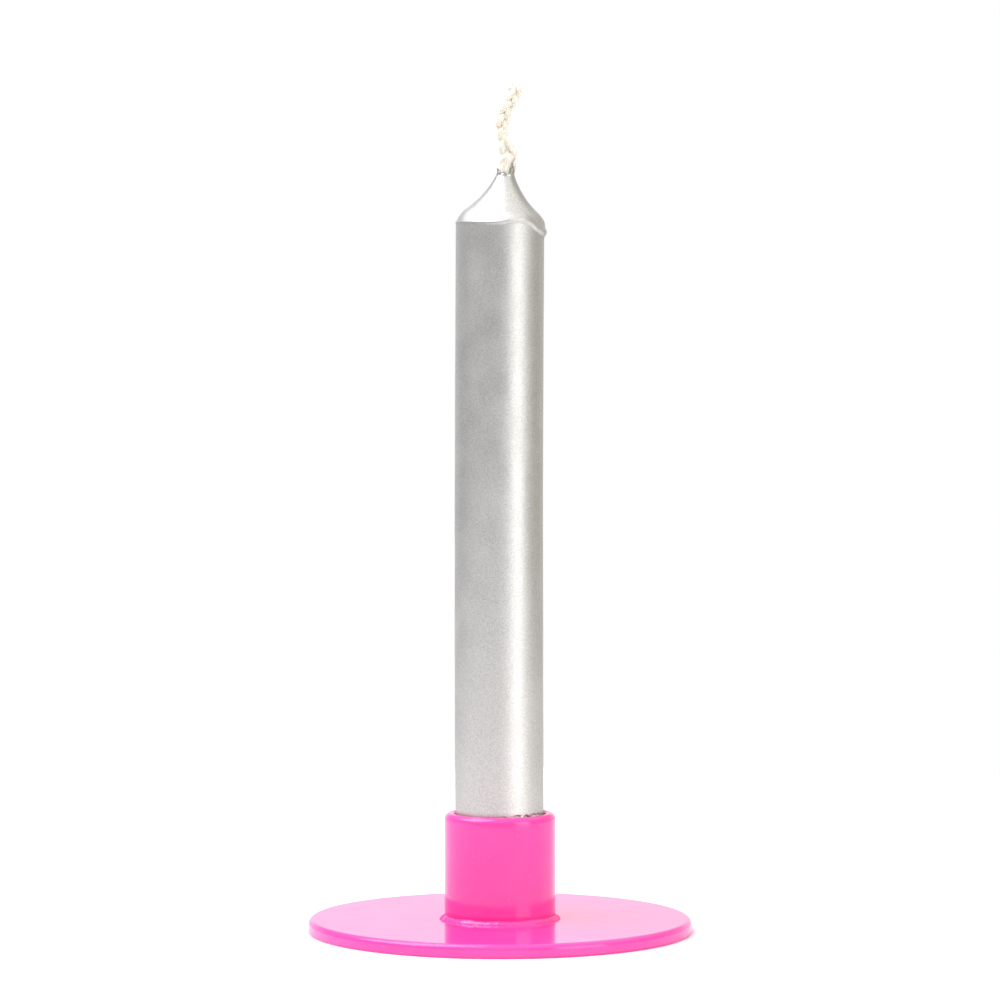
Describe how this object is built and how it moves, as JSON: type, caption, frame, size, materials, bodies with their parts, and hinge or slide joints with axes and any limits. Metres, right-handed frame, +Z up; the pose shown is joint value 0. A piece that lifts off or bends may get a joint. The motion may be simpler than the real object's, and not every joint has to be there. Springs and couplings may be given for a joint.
{
  "type": "candle in holder",
  "caption": "Slim metallic-coated candle with a plaited cotton wick, standing loose in the short tube socket of a round painted disc holder",
  "frame": {"origin": "centre of the disc's underside, on the table", "axes": "+Z up the candle, which is the longest way; +X to the side the tip and wick lean to; the disc rests facing -Z"},
  "size_m": [0.0564, 0.0564, 0.1245],
  "materials": {
    "holder_enamel": "gloss pink enamel on steel",
    "candle_wax": "bare white wax",
    "silver_lacquer": "satin silver-flake lacquer on wax",
    "wick_cotton": "waxed plaited cotton"
  },
  "bodies": {
    "holder": {"base_plate": "holder_enamel", "socket_tube": "holder_enamel", "weld_bead": "holder_enamel"},
    "candle": {"wax_core": "candle_wax", "silver_coat": "silver_lacquer", "wick_strand_left": "wick_cotton", "wick_strand_middle": "wick_cotton", "wick_strand_right": "wick_cotton"}
  },
  "joints": [
    {"name": "candle_lift", "type": "slide", "parent": "holder", "child": "candle", "axis": [0, 0, 1], "range_m": [0, 0.02]}
  ]
}
